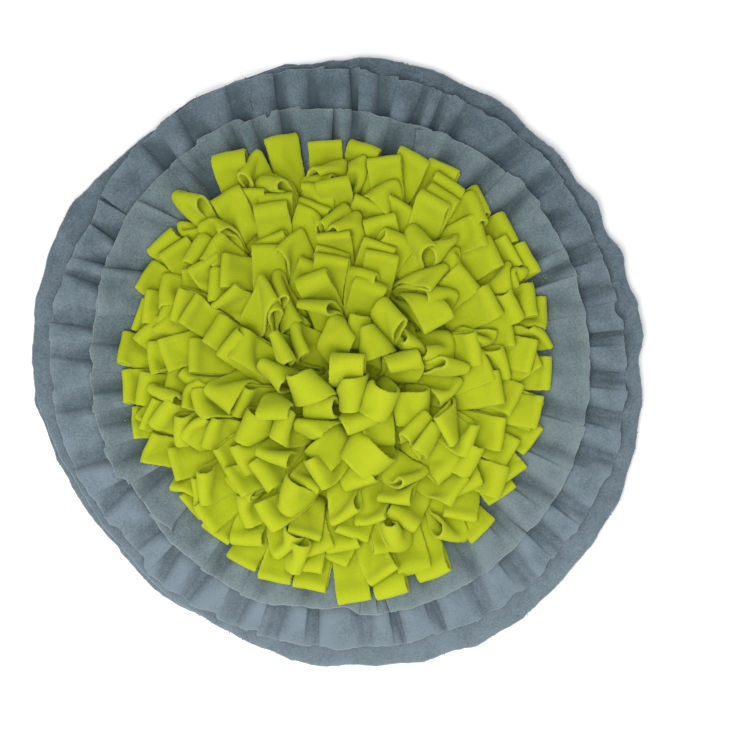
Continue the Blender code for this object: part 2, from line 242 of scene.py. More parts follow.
# free edges of the ruffles: angle (deg), reach (mm); read off the photo
EDGE_REACH_OUTER = [
    (0, 216.5), (7, 216.5), (9, 212), (13, 214), (16, 215), (20, 214), (25, 215), (35, 216.5),
    (46, 220), (50, 218.5), (55, 220.5), (60, 217), (66, 219.5), (70, 218.5), (74, 220), (79, 217),
    (83, 221), (87, 220), (88.5, 222.5), (92.5, 220.5), (97, 224), (103, 223.5), (112, 225), (123, 225),
    (131, 222.5), (135, 221), (140, 222), (146, 218), (150, 214), (158, 216), (165, 217.5), (172, 218.5),
    (180, 216.5), (186, 214), (190, 216), (200, 214), (207, 211.5), (212, 210.5), (216, 206.5),
    (222, 206), (223, 210), (231, 213), (240, 212), (246, 209), (249, 213.5), (253, 210), (258, 214),
    (266, 213.5), (268, 216), (276, 215), (278, 216.5), (285, 217.5), (290, 215), (294, 219), (304, 221),
    (307, 219), (313, 221), (319, 216), (323, 220.5), (328, 218), (330, 220), (333, 218), (342, 221.5),
    (349, 218), (352, 218.5),
]
EDGE_REACH_INNER = [
    (0, 189), (10, 188.5), (18, 189), (23, 190.5), (28, 190), (32, 191), (37, 190.5), (43, 193.5),
    (49, 191.5), (55, 189.5), (63, 189), (68, 188), (71, 184), (74, 189), (79, 186), (84, 190.5),
    (88, 189), (92, 190.5), (95, 190.5), (102, 194.5), (106, 191), (112, 196.5), (118, 197.5), (123, 196.5),
    (130, 192.5), (136, 194), (141, 192.5), (151, 192), (159, 189), (165, 185.5), (168.5, 183), (172, 185.5),
    (180, 184), (192, 186.5), (198, 184), (203, 186.5), (210, 181), (213, 179), (217, 181.5), (225, 176.5),
    (227, 183), (236, 184), (243, 186), (251, 188), (262, 184.5), (272, 183), (276, 189.5), (281, 189),
    (283, 191.5), (297, 191.5), (306, 192), (318, 191), (330, 192), (345, 191), (355, 188.5),
]


def around(table, angle, column=1):
    """Value of a column at an angle (deg, array or number), eased between rows of a closed table."""
    angle = np.asarray(angle, float) % 360.0
    keys = np.array([row[0] for row in table], float)
    values = np.array([row[column] for row in table], float)
    keys = np.concatenate([[keys[-1] - 360.0], keys, [keys[0] + 360.0]])
    values = np.concatenate([[values[-1]], values, [values[0]]])
    at = np.clip(np.searchsorted(keys, angle, side="right") - 1, 0, len(keys) - 2)
    part = (angle - keys[at]) / (keys[at + 1] - keys[at])
    part = part * part * (3.0 - 2.0 * part)
    return values[at] * (1.0 - part) + values[at + 1] * part


# ------------------------------------------------------------------ settling the loops
def ground(bed, xy):
    """Height of what lies under the loops at points (mm): the bands, and further out the ruffles."""
    radius = np.hypot(xy[..., 0], xy[..., 1])
    angle = np.degrees(np.arctan2(xy[..., 1], xy[..., 0])) % 360.0
    rise = smooth_step((radius - 131.0) / 14.0)
    return np.maximum(GROUND, GROUND + (look_up(bed, radius, angle) - DECK - 1.2) * rise)


def close_pairs(points, owner, row, reach):
    """Index pairs of particles nearer than reach, without those that are neighbours in one strip."""
    cell = np.floor(points / reach).astype(np.int64)
    cell -= cell.min(0)
    span = cell.max(0) + 3
    key = (cell[:, 0] * span[1] + cell[:, 1]) * span[2] + cell[:, 2]
    order = np.argsort(key, kind="stable")
    ranked = key[order]
    unique, first, count = np.unique(ranked, return_index=True, return_counts=True)
    found_a = []
    found_b = []
    for dx in (0, 1):
        for dy in (-1, 0, 1):
            for dz in (-1, 0, 1):
                if dx == 0 and (dy < 0 or (dy == 0 and dz < 0)):
                    continue
                shift = (dx * span[1] + dy) * span[2] + dz
                where = np.searchsorted(unique, ranked + shift)
                where[where == len(unique)] = 0
                hit = np.nonzero(unique[where] == ranked + shift)[0]
                if not len(hit):
                    continue
                slot = where[hit]
                number = count[slot]
                a = np.repeat(hit, number)
                offset = np.arange(len(a)) - np.repeat(np.cumsum(number) - number, number)
                b = np.repeat(first[slot], number) + offset
                if shift == 0:
                    keep = b > a
                    a = a[keep]
                    b = b[keep]
                a = order[a]
                b = order[b]
                gap = points[a] - points[b]
                near = np.einsum("ij,ij->i", gap, gap) < reach * reach
                same = (owner[a] == owner[b]) & (np.abs(row[a] - row[b]) <= 3)
                near &= ~same
                found_a.append(a[near])
                found_b.append(b[near])
    return np.concatenate(found_a), np.concatenate(found_b)


def pull(one, other, rest, share, firm):
    """Move two slices of particles towards their rest distance; share is each one's freedom."""
    gap = other - one
    length = np.sqrt(np.einsum("...k,...k->...", gap, gap)) + 1e-9
    move = gap * (firm * 0.5 * (length - rest) / length)[..., None]
    one += move * share
    other -= move * share


def hold_spacing(points, free, pitch, gap):
    """Keep neighbours in a strip at their distance, along it and across it."""
    for first in (0, 1):
        a = points[:, first:-1:2]
        b = points[:, first + 1::2]
        n = min(a.shape[1], b.shape[1])
        share = np.minimum(free[:, first:-1:2][:, :n], free[:, first + 1::2][:, :n])
        pull(a[:, :n], b[:, :n], pitch, share, 1.0)
        a = points[:, :, first:-1:2]
        b = points[:, :, first + 1::2]
        n = min(a.shape[2], b.shape[2])
        pull(a[:, :, :n], b[:, :, :n], gap, free, 1.0)


def hold_slants(points, free, diagonal):
    """Keep the diagonals of a strip's meshes, so that it doesn't shear."""
    for first in (0, 1):
        a = points[:, first:-1:2, :-1]
        b = points[:, first + 1::2, 1:]
        n = min(a.shape[1], b.shape[1])
        share = np.minimum(free[:, first:-1:2][:, :n], free[:, first + 1::2][:, :n])
        slant = diagonal[:, first:-1:2][:, :n]
        pull(a[:, :n], b[:, :n], slant, share, FIRM_SLANT)
        a = points[:, first:-1:2, 1:]
        b = points[:, first + 1::2, :-1]
        pull(a[:, :n], b[:, :n], slant, share, FIRM_SLANT)


def hold_bend(points, free, index, apart, firm, pitch):
    """Push particles that are some spacings apart to the distance that they have in flat cloth."""
    gap = points[:, index + apart] - points[:, index]
    length = np.sqrt(np.einsum("...k,...k->...", gap, gap)) + 1e-9
    move = gap * (firm[:, index, None] * 0.5 * (length - apart * pitch) / length)[..., None]
    points[:, index] += move * free[:, index]
    points[:, index + apart] -= move * free[:, index + apart]


def hold_width(points, free, gap):
    """Keep a strip from folding lengthwise: particles two apart across it stay at their distance."""
    for start in range(4):
        a = points[:, :, start:-2:4]
        b = points[:, :, start + 2::4]
        n = min(a.shape[2], b.shape[2])
        pull(a[:, :, :n], b[:, :, :n], gap, free, FIRM_WIDTH)


def part_layers(flat, free_flat, pairs, bed):
    """Push apart layers that are too close, and lift what is below the ground."""
    a, b = pairs
    gap = flat[a] - flat[b]
    length = np.sqrt(np.einsum("ij,ij->i", gap, gap)) + 1e-9
    deep = np.nonzero(length < TOUCH)[0]
    a = a[deep]
    b = b[deep]
    move = gap[deep] * (FIRM_TOUCH * (TOUCH - length[deep]) / length[deep])[:, None]
    total_move = np.zeros_like(flat)
    for axis in range(3):
        total_move[:, axis] = np.bincount(a, move[:, axis], len(flat))
        total_move[:, axis] -= np.bincount(b, move[:, axis], len(flat))
    big = np.sqrt(np.einsum("ij,ij->i", total_move, total_move))[:, None]
    total_move *= np.minimum(1.0, MOST_TOUCH / (big + 1e-9))
    flat += total_move * free_flat
    low = ground(bed, flat[:, :2]) + CLEAR_GROUND
    under = flat[:, 2] < low
    flat[under, 2] = np.where(free_flat[under, 0] > 0, low[under], flat[under, 2])


def sewn_places(rng):
    """Ring, radius (mm), angle (rad), heading (rad) and spacing of the particles (mm) of each loop."""
    radius = np.concatenate([[r] * n for r, n, _ in RINGS])
    angle = np.concatenate([[s + 360.0 * k / n for k in range(n)] for _, n, s in RINGS])
    ring = np.concatenate([[k] * n for k, (_, n, _) in enumerate(RINGS)])
    loops = len(radius)
    rim = np.array(RIM_LOOPS, float)
    outermost = slice(0, len(rim))
    radius = radius + rng.normal(0.0, JITTER, loops)
    angle = angle + np.degrees(rng.normal(0.0, JITTER, loops) / radius)
    angle[outermost] = rim[:, 0]
    radius[outermost] = RINGS[0][0] + rng.normal(0.0, RIM_JITTER, len(rim))
    turn = np.radians(angle)
    yaw = turn + np.radians(np.clip(rng.normal(YAW_MEAN, YAW, loops), -MOST_YAW, MOST_YAW))
    yaw[outermost] = turn[outermost] + np.radians(rim[:, 2] + rng.normal(0.0, RIM_YAW, len(rim)))
    stretch = rng.uniform(SHORT, LONG, loops)
    reach = around(RIM_REACH, angle)
    reach[outermost] = rim[:, 1]
    stretch = np.where(ring == 0, (reach - RIM_USUAL) / RIM_GAIN + 1.0, stretch)
    next_ring = 0.6 * (reach - NEXT_USUAL) / RIM_GAIN + 0.68 + 0.3 * stretch
    stretch = np.where(ring == 1, next_ring, stretch)
    stretch *= 1.0 + TALL * smooth_step((ring - 1) / 6.0)
    return ring, radius, turn, yaw, PITCH * stretch


def gathering():
    """Share of its width that a strip has at each particle along it: gathered at both seams."""
    step = np.arange(ALONG)
    end = np.minimum(step, ALONG - 1 - step)
    return GATHER + (1.0 - GATHER) * smooth_step(end / GATHER_ROWS)


def upright(root, yaw, pitch, rng):
    """Strips folded over into narrow loops that stand upright on their roots: points (mm)."""
    facing = np.stack([np.cos(yaw), np.sin(yaw), 0 * yaw], 1)
    side = np.stack([-np.sin(yaw), np.cos(yaw), 0 * yaw], 1)
    total = (ALONG - 1) * pitch
    leg = (total - math.pi * BOW) / 2.0
    path = np.arange(ALONG)[None, :] * pitch[:, None]
    on_top = np.clip((path - leg[:, None]) / (math.pi * BOW), 0.0, 1.0) * math.pi
    rise = np.minimum(path, leg[:, None]) - np.clip(path - leg[:, None] - math.pi * BOW, 0, None)
    rise = rise + BOW * np.sin(on_top)
    across = -BOW * np.cos(on_top)
    width = (np.arange(ACROSS) / (ACROSS - 1) - 0.5) * STRIP
    share = START * gathering()[None, :, None]
    points = (
        root[:, None, None, :]
        + facing[:, None, None, :] * across[:, :, None, None]
        + side[:, None, None, :] * (share * width[None, None, :])[..., None]
    )
    points[..., 2] = GROUND + rise[:, :, None]
    points += rng.normal(0.0, UNEVEN, points.shape)
    return points


def combing(root, turn, rng):
    """Force on each loop and across its width: down and away from the parting; at the rim outward."""
    loops = len(root)
    rims = len(RIM_LOOPS)
    away = root[:, :2] - np.array(PARTING)
    far = np.linalg.norm(away, axis=1)
    lean = smooth_step((far - 12.0) / 105.0) + 0.06
    loose = DRIFT + MIDDLE_DRIFT * np.clip(1.0 - far / MIDDLE, 0.0, 1.0)
    stray = np.radians(rng.normal(0.0, 1.0, loops) * loose + SWIRL)
    drift = np.arctan2(away[:, 1], away[:, 0]) + stray
    drift[:rims] = turn[:rims] + np.radians(rng.normal(RIM_SWIRL, RIM_DRIFT, rims))
    push = np.stack([np.cos(drift), np.sin(drift), 0 * drift], 1)
    push *= (lean * rng.uniform(0.7, 1.3, loops))[:, None] * PUSH
    twist = rng.normal(0.0, TWIST, loops)
    fall = np.array([0.0, 0.0, -1.0])
    spread = np.linspace(-1.0, 1.0, ACROSS)
    uneven = push[:, None, :] * twist[:, None, None] * spread[None, :, None]
    return (push + fall)[:, None, None, :] + uneven[:, None, :, :]


def stiffness(loops, rng):
    """How firmly each strip resists bending over two and over four spacings: less at its fold."""
    crease = CREASE * rng.uniform(0.0, 1.0, loops) ** 3
    found = []
    for apart, firm, softest in ((2, BEND, 0.0), (4, BEND_FAR, 1.0)):
        middle = np.abs(np.arange(ALONG - apart) + apart // 2 - (ALONG - 1) / 2.0)
        soft = np.clip((middle - softest) / 3.0, 0.0, 1.0)
        found.append(firm * (crease[:, None] + (1.0 - crease[:, None]) * soft[None, :]))
    return found


def settle(bed):
    """Lay the loops: strips that start upright on their rings and are combed outward and down."""
    rng = np.random.default_rng(SEED)
    ring, radius, turn, yaw, spacing = sewn_places(rng)
    loops = len(ring)
    root = np.stack([np.cos(turn), np.sin(turn), 0 * turn], 1) * radius[:, None]
    points = upright(root, yaw, spacing, rng)
    free = np.ones((1, ALONG, 1, 1))
    free[:, :2] = 0.0
    free[:, -2:] = 0.0
    free_flat = np.broadcast_to(free, points.shape[:3] + (1,)).reshape(-1, 1).copy()
    owner = np.broadcast_to(np.arange(loops)[:, None, None], (loops, ALONG, ACROSS)).ravel().copy()
    row = np.broadcast_to(np.arange(ALONG)[None, :, None], (loops, ALONG, ACROSS)).ravel().copy()
    force = np.broadcast_to(combing(root, turn, rng), points.shape) * free
    bend, bend_far = stiffness(loops, rng)
    pitch = spacing[:, None, None]
    base = points.mean(2, keepdims=True)
    thrown = points - base
    held = np.array([0, 1, ALONG - 2, ALONG - 1])
    speed = np.zeros_like(points)
    pairs = None
    for number in range(STEPS):
        grown = min(1.0, number / (GROWING * STEPS))
        grow = START + (1.0 - START) * grown
        gap = (STRIP / (ACROSS - 1) * grow * gathering())[None, :, None]
        points[:, held] = base[:, held] + thrown[:, held] * (grow / START)
        diagonal = np.sqrt(pitch ** 2 + gap ** 2)
        speed += force * WEIGHT * (EARLY_WEIGHT + (1.0 - EARLY_WEIGHT) * grown)
        speed *= DAMPING
        size = np.sqrt(np.einsum("...k,...k->...", speed, speed))[..., None]
        speed *= np.minimum(1.0, FASTEST / (size + 1e-9))
        before = points.copy()
        points += speed * free
        flat = points.reshape(-1, 3)
        if number % 3 == 0:
            pairs = close_pairs(flat, owner, row, NEAR)
        for again in range(ROUNDS):
            hold_spacing(points, free, pitch, gap)
            hold_slants(points, free, diagonal)
            for start in (0, 2, 1, 3):
                hold_bend(points, free, np.arange(start, ALONG - 2, 4), 2, bend, pitch)
            for start in range(again % 2, 8, 2):
                hold_bend(points, free, np.arange(start, ALONG - 4, 8), 4, bend_far, pitch)
            hold_width(points, free, 2.0 * gap)
            if again % 2 == 1:
                part_layers(flat, free_flat, pairs, bed)
        speed = (points - before) * free
    return points, ring


# ------------------------------------------------------------------ meshes
def smooth_step(value):
    """Ease from 0 to 1."""
    value = np.clip(value, 0.0, 1.0)
    return value * value * (3.0 - 2.0 * value)


def between(grid):
    """Twice as many lines along the first axis of a grid of points, rounded."""
    ends = np.concatenate([2 * grid[:1] - grid[1:2], grid, 2 * grid[-1:] - grid[-2:-1]])
    middle = (-ends[:-3] + 9.0 * ends[1:-2] + 9.0 * ends[2:-1] - ends[3:]) / 16.0
    made = np.empty((2 * len(grid) - 1,) + grid.shape[1:])
    made[0::2] = grid
    made[1::2] = middle
    return made


def facing_of(grid, wrap=False):
    """Unit normals of a grid of points."""
    if wrap:
        along = np.roll(grid, -1, 0) - np.roll(grid, 1, 0)
    else:
        along = np.gradient(grid, axis=0)
    across = np.gradient(grid, axis=1)
    normal = np.cross(along, across)
    return normal / (np.linalg.norm(normal, axis=2, keepdims=True) + 1e-9)


def crisp(grid, wrap):
    """The grid with one more line close to each cut edge, so that the cloth is thick up to it."""
    for axis in (1,) if wrap else (0, 1):
        lines = np.swapaxes(grid, 0, axis)
        ends = []
        for edge, next_line in ((lines[:1], lines[1:2]), (lines[-1:], lines[-2:-1])):
            way = next_line - edge
            ends.append(edge + way * (EDGE_LINE / (np.linalg.norm(way, axis=-1, keepdims=True) + 1e-9)))
        lines = np.concatenate([lines[:1], ends[0], lines[1:-1], ends[1], lines[-1:]])
        grid = np.swapaxes(lines, 0, axis)
    return grid


def thick(grid, half, rng, ragged=0.0, wrap=False):
    """Closed cloth around a grid of points: vertices, quads and 1 for each vertex at a cut edge."""
    grid = crisp(grid, wrap)
    rows, columns = grid.shape[:2]
    normal = facing_of(grid, wrap)
    pinch = np.ones((rows, columns, 1))
    pinch[:, 0] = PINCH
    pinch[:, -1] = PINCH
    if not wrap:
        pinch[0] = PINCH
        pinch[-1] = PINCH
    offset = normal * half * pinch
    index = np.arange(rows * columns).reshape(rows, columns)
    if wrap:
        rims = [index[:, 0], index[::-1, -1]]
        closed_rows = np.concatenate([index, index[:1]])
    else:
        rims = [np.concatenate([index[:, 0], index[-1, 1:], index[-2::-1, -1], index[0, -2:0:-1]])]
        closed_rows = index
    points = grid.reshape(-1, 3)
    verts = [points + offset.reshape(-1, 3), points - offset.reshape(-1, 3)]
    edge = [np.zeros(rows * columns), np.zeros(rows * columns)]
    count = rows * columns
    corners = [closed_rows[:-1, :-1], closed_rows[1:, :-1], closed_rows[1:, 1:], closed_rows[:-1, 1:]]
    quads = np.stack(corners, -1).reshape(-1, 4)
    faces = [quads, quads[:, ::-1] + count]
    start = 2 * count
    inward = np.zeros_like(grid)
    inward[:, 0] = grid[:, 1] - grid[:, 0]
    inward[:, -1] = grid[:, -2] - grid[:, -1]
    if not wrap:
        inward[0] += grid[1] - grid[0]
        inward[-1] += grid[-2] - grid[-1]
    inward = inward.reshape(-1, 3)
    inward /= np.linalg.norm(inward, axis=1, keepdims=True) + 1e-9
    for rim in rims:
        jag = rng.normal(0.0, ragged, (len(rim), 1))
        verts[0][rim] -= inward[rim] * jag
        verts[1][rim] -= inward[rim] * jag
        verts.append(points[rim] - inward[rim] * (jag + BULGE * half))
        edge.append(np.ones(len(rim)))
        edge[0][rim] = 1.0
        edge[1][rim] = 1.0
        after = np.roll(rim, -1)
        ring = start + np.arange(len(rim))
        ring_after = np.roll(ring, -1)
        faces.append(np.stack([rim, after, ring_after, ring], 1)[:, ::-1])
        faces.append(np.stack([ring, ring_after, after + count, rim + count], 1)[:, ::-1])
        start += len(rim)
    return np.concatenate(verts), np.concatenate(faces), np.concatenate(edge)


def bits(spots, sizes, rng):
    """Tiny uneven lumps at points: vertices, quads and edge values."""
    corners = np.array([(x, y, z) for x in (-1, 1) for y in (-1, 1) for z in (-1, 1)], float)
    quads = np.array([(0, 1, 3, 2), (4, 6, 7, 5), (0, 4, 5, 1), (2, 3, 7, 6), (0, 2, 6, 4), (1, 5, 7, 3)])
    shape = corners[None] * rng.uniform(0.4, 1.3, (len(spots), 8, 1))
    verts = spots[:, None, :] + shape * sizes[:, None, None]
    verts[..., 2] = np.maximum(verts[..., 2], 0.0)
    faces = quads[None] + 8 * np.arange(len(spots))[:, None, None]
    return verts.reshape(-1, 3), faces.reshape(-1, 4), np.full(8 * len(spots), 0.8)


def fluff(grid, half, rng, number, sides, size):
    """Loose bits of nap on the cut edges of a grid of cloth: vertices, quads and edge values."""
    rows = rng.integers(1, len(grid) - 1, number)
    side = rng.choice(sides, number)
    spots = grid[rows, side]
    out = spots - grid[rows, np.where(side == 0, 1, -2)]
    out /= np.linalg.norm(out, axis=1, keepdims=True) + 1e-9
    spots = spots + out * rng.uniform(-0.2, 0.3, (number, 1)) + rng.normal(0.0, 0.3 * half, (number, 3))
    return bits(spots, rng.uniform(0.5 * size, size, number), rng)


def make_mesh(name, parts, look, node, slot, painted_light_amount=0.17, painted_lit_side=270.0):
    """One smooth-shaded piece out of (vertices in mm, quads, edge, tint) parts, with painted light added to
    the tint: paler towards one side of the mat and darker towards the other.
    """
    verts = []
    faces = []
    edges = []
    tints = []
    start = 0
    for vertices, quads, edge, tint in parts:
        verts.append(vertices)
        faces.append(quads + start)
        edges.append(edge)
        # painted light: the tint is raised towards one side of the mat and lowered towards the opposite one,
        # the way the light falls
        turn = np.arctan2(vertices[:, 1], vertices[:, 0])
        tints.append(tint + painted_light_amount * np.cos(turn - np.radians(painted_lit_side)))
        start += len(vertices)
    verts = np.concatenate(verts) * MM
    faces = np.concatenate(faces)
    mesh = bpy.data.meshes.new(name)
    mesh.vertices.add(len(verts))
    mesh.vertices.foreach_set("co", verts.astype(np.float32).ravel())
    mesh.loops.add(faces.size)
    mesh.loops.foreach_set("vertex_index", faces.astype(np.int32).ravel())
    mesh.polygons.add(len(faces))
    mesh.polygons.foreach_set("loop_start", np.arange(0, faces.size, 4, dtype=np.int32))
    mesh.polygons.foreach_set("use_smooth", np.ones(len(faces), bool))
    mesh.update(calc_edges=True)
    for label, values in (("cut_edge", edges), ("tint", tints)):
        layer = mesh.attributes.new(label, "FLOAT", "POINT")
        layer.data.foreach_set("value", np.concatenate(values).astype(np.float32))
    mesh.materials.append(look)
    made = bpy.data.objects.new(name, mesh)
    bpy.context.scene.collection.objects.link(made)
    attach(made, "root")
    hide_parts(node)
    return made


# ------------------------------------------------------------------ looks
def fleece(name, dark, light, pale, nap, grain, sheen, edge_share=0.2):
    """Brushed fleece: patchy nap, speckle, paler cut edges (partly paler fibre ends, partly a painted
    highlight) and a soft sheen.
    """
    look = bpy.data.materials.new(name)
    look.use_nodes = True
    tree = look.node_tree
    nodes = tree.nodes
    link = tree.links.new
    shader = nodes["Principled BSDF"]
    shader.inputs["Roughness"].default_value = 0.92
    shader.inputs["Sheen Weight"].default_value = sheen
    shader.inputs["Sheen Roughness"].default_value = 0.55
    shader.inputs["Sheen Tint"].default_value = (*pale, 1.0)
    shader.inputs["Specular IOR Level"].default_value = 0.15
    place = nodes.new("ShaderNodeTexCoord")

    def noise(scale, detail, roughness):
        made = nodes.new("ShaderNodeTexNoise")
        made.inputs["Scale"].default_value = scale
        made.inputs["Detail"].default_value = detail
        made.inputs["Roughness"].default_value = roughness
        link(place.outputs["Object"], made.inputs["Vector"])
        return made

    patches = noise(nap, 4.0, 0.6)
    speckle = noise(grain, 3.0, 0.7)
    mixed = nodes.new("ShaderNodeMath")
    mixed.operation = "MULTIPLY_ADD"
    link(speckle.outputs["Fac"], mixed.inputs[0])
    mixed.inputs[1].default_value = 0.9
    calmer = nodes.new("ShaderNodeMath")
    calmer.operation = "MULTIPLY_ADD"
    link(patches.outputs["Fac"], calmer.inputs[0])
    calmer.inputs[1].default_value = PATCHY
    calmer.inputs[2].default_value = 0.275 - 0.5 * PATCHY
    link(calmer.outputs[0], mixed.inputs[2])
    tint = nodes.new("ShaderNodeAttribute")
    tint.attribute_name = "tint"
    added = nodes.new("ShaderNodeMath")
    added.operation = "ADD"
    link(mixed.outputs[0], added.inputs[0])
    link(tint.outputs["Fac"], added.inputs[1])
    ramp = nodes.new("ShaderNodeValToRGB")
    ramp.color_ramp.elements[0].position = 0.45
    ramp.color_ramp.elements[0].color = (*dark, 1.0)
    ramp.color_ramp.elements[1].position = 0.98
    ramp.color_ramp.elements[1].color = (*light, 1.0)
    link(added.outputs[0], ramp.inputs["Fac"])
    # cut edges mixed towards the pale colour: partly paler fibre ends, partly a painted highlight where an
    # edge catches the light
    cut = nodes.new("ShaderNodeAttribute")
    cut.attribute_name = "cut_edge"
    share = nodes.new("ShaderNodeMath")
    share.operation = "MULTIPLY"
    share.inputs[1].default_value = edge_share
    link(cut.outputs["Fac"], share.inputs[0])
    mix = nodes.new("ShaderNodeMix")
    mix.data_type = "RGBA"
    link(share.outputs[0], mix.inputs["Factor"])
    link(ramp.outputs["Color"], mix.inputs[6])
    mix.inputs[7].default_value = (*pale, 1.0)
    link(mix.outputs[2], shader.inputs["Base Color"])
    fine = noise(grain * 1.6, 2.0, 0.6)
    bump = nodes.new("ShaderNodeBump")
    bump.inputs["Strength"].default_value = 0.5
    bump.inputs["Distance"].default_value = 0.0006
    link(fine.outputs["Fac"], bump.inputs["Height"])
    soft = nodes.new("ShaderNodeBump")
    soft.inputs["Strength"].default_value = 0.5
    soft.inputs["Distance"].default_value = 0.0012
    link(patches.outputs["Fac"], soft.inputs["Height"])
    link(bump.outputs["Normal"], soft.inputs["Normal"])
    link(soft.outputs["Normal"], shader.inputs["Normal"])
    return look


# ------------------------------------------------------------------ pieces
def fold_controls(lap):
    """One pleat: (mm past the crease, share of the next span, share of the crease's depth, stack)."""
    if lap > 3.5:
        return [
            (-12.0, 0.0, 0.14, 0.0), (-7.0, 0.0, 0.42, 0.0), (-3.0, 0.0, 0.78, 0.0),
            (lap - 1.6, 0.0, 1.0, 0.1), (lap, 0.0, 0.9, 0.9), (lap - 1.2, 0.0, 0.72, 1.8),
            (0.9, 0.0, 0.44, 2.3), (-0.6, 0.0, 0.24, 3.0), (1.2, 0.0, 0.05, 3.6),
            (5.5, 0.0, -0.12, 3.0), (0.0, 0.38, -0.08, 1.0), (0.0, 0.6, 0.02, 0.0),
        ]
    return [
        (-13.0, 0.0, 0.06, 0.0), (-8.5, 0.0, 0.36, 0.0), (-4.0, 0.0, 0.80, 0.0), (-0.8, 0.0, 1.0, 0.0),
        (2.0 + lap * 0.3, 0.0, 0.82, 0.0), (4.5, 0.0, 0.42, 0.0), (7.5, 0.0, 0.06, 0.0),
        (11.0, 0.0, -0.16, 0.0), (0.0, 0.46, -0.22, 0.0), (0.0, 0.62, -0.12, 0.0),
    ]


def crease_controls(pleats, strip):
    """Controls along a strip: angle (deg), mm past the crease, depth, height of the stack, slant (deg)."""
    first, last, slant_a, slant_b = strip[:4]
    controls = [(first, 0.0, 0.0, 0.3, slant_a), (first + 0.25, 0.0, 0.0, 0.3, slant_a)]
    turns = range(int(first // 360) - 1, int(last // 360) + 2)
    creases = sorted((pleat[0] + 360.0 * turn, pleat) for turn in turns for pleat in pleats)
    for place in range(1, len(creases) - 1):
        crease, pleat = creases[place]
        span = creases[place + 1][0] - crease
        if crease < first - 0.5 or crease > last - 0.6 * span:
            continue
        back = min(1.0, (crease - creases[place - 1][0]) / FOLD_ROOM)
        onward = min(1.0, span / FOLD_ROOM)
        for past, part, depth, stack in fold_controls(pleat[3]):
            angle = crease + part * span
            if first + 0.5 < angle < last - 0.5:
                slant = pleat[4] * (1.0 - part)
                past = past * (back if past < -1.0 else onward if depth < 0.7 and past > 2.0 else 1.0)
                controls.append((angle, past, depth * pleat[2], stack, slant))
    controls += [(last - 0.25, 0.0, 0.0, 0.3, slant_b), (last, 0.0, 0.0, 0.3, slant_b)]
    return np.array(controls)


def loose_waves(control, rng):
    """Add small waves to a grid of radius (mm), angle (deg) and height (mm)."""
    turn = np.radians(control[..., 1])
    share = np.linspace(0.0, 1.0, control.shape[1])[None, :]
    for a, b, c, d in rng.normal(0.0, 1.0, (WAVES, 4)):
        phase = turn * (26 + 22 * abs(a)) + c * 3.0 + share * b * 5.0
        control[..., 2] += WRINKLE * np.sin(phase)
        control[..., 0] += SWAY * share * np.cos(phase * 1.3 + d)


def ruffle_strip(pleats, reach_table, seam, under, strip, rng):
    """Grid of points of one pleated strip between two angles, lying on what is under it."""
    first, last, _, _, over_a, over_b = strip
    table = crease_controls(pleats, strip)
    reach = around(reach_table, table[:, 0])[None, :]
    share = np.linspace(0.0, 1.0, RUFFLE_LINES)[:, None]
    radius = seam + (reach - seam) * share
    angle = table[:, 0][None, :] + table[:, 4][None, :] * (1.0 - share)
    angle = angle + np.degrees(table[:, 1][None, :] / radius)
    at_edge = EDGE_DEPTH + EDGE_GAIN * (np.abs(table[:, 2]) - USUAL_DEPTH)
    at_edge = np.clip(at_edge, 0.10, 0.60)[None, :]
    deep = smooth_step(share / 0.4) * (1.0 - (1.0 - at_edge) * smooth_step((share - 0.5) / 0.5))
    ride = RIDE_SEAM * smooth_step(share / 0.55) + (0.0 if under is None else INNER_RISE * share)
    ride = ride + (RIDE_EDGE - RIDE_SEAM) * smooth_step((share - 0.35) / 0.65)
    own = np.maximum(ride - DEEP * table[:, 2][None, :] * deep, table[:, 3][None, :])
    near_a = np.clip(1.0 - (table[:, 0] - first) / LAP, 0.0, 1.0)
    near_b = np.clip(1.0 - (last - table[:, 0]) / LAP, 0.0, 1.0)
    own = own + (over_a * smooth_step(near_a * 1.6) + over_b * smooth_step(near_b * 1.6))[None, :]
    control = np.stack([radius, angle, own], -1).transpose(1, 0, 2)
    for _ in range(2):
        control = between(control)
    loose_waves(control, rng)
    height = DECK + HALF_RUFFLE + np.maximum(control[..., 2], 0.0)
    if under is not None:
        spot = (control[..., 0], control[..., 1])
        broad = look_up(under[1], *spot)
        height = np.maximum(look_up(under[0], *spot) + OVER_CLOTH, height + FOLLOW * (broad - DECK))
    turn = np.radians(control[..., 1])
    return np.stack([control[..., 0] * np.cos(turn), control[..., 0] * np.sin(turn), height], -1)


def relief(grids):
    """Maps of the height of the highest cloth, by radius and angle: fine and broad."""
    top = np.full((MAP_ROWS, MAP_COLUMNS), DECK)
    for grid in grids:
        for axis in (0, 1):
            grid = np.swapaxes(grid, 0, axis)
            rows = np.linspace(0, len(grid) - 1, (len(grid) - 1) * 4 + 1)
            low = np.minimum(rows.astype(int), len(grid) - 2)
            part = (rows - low)[:, None, None]
            grid = np.swapaxes(grid[low] * (1 - part) + grid[low + 1] * part, 0, axis)
        radius = np.hypot(grid[..., 0], grid[..., 1])
        angle = np.degrees(np.arctan2(grid[..., 1], grid[..., 0])) % 360.0
        row = np.clip(np.round(radius - MAP_START).astype(int), 0, MAP_ROWS - 1)
        column = np.round(angle * PER_DEGREE).astype(int) % MAP_COLUMNS
        np.maximum.at(top, (row, column), grid[..., 2] + HALF_RUFFLE)
    broad = top.copy()
    fine = top.copy()
    for number in range(40):
        broad = (broad + np.roll(broad, 1, 1) + np.roll(broad, -1, 1)) / 3.0
        broad[1:-1] = (broad[1:-1] + broad[2:] + broad[:-2]) / 3.0
        if number == 2:
            fine = np.maximum(broad, fine - 0.3)
    return fine, broad


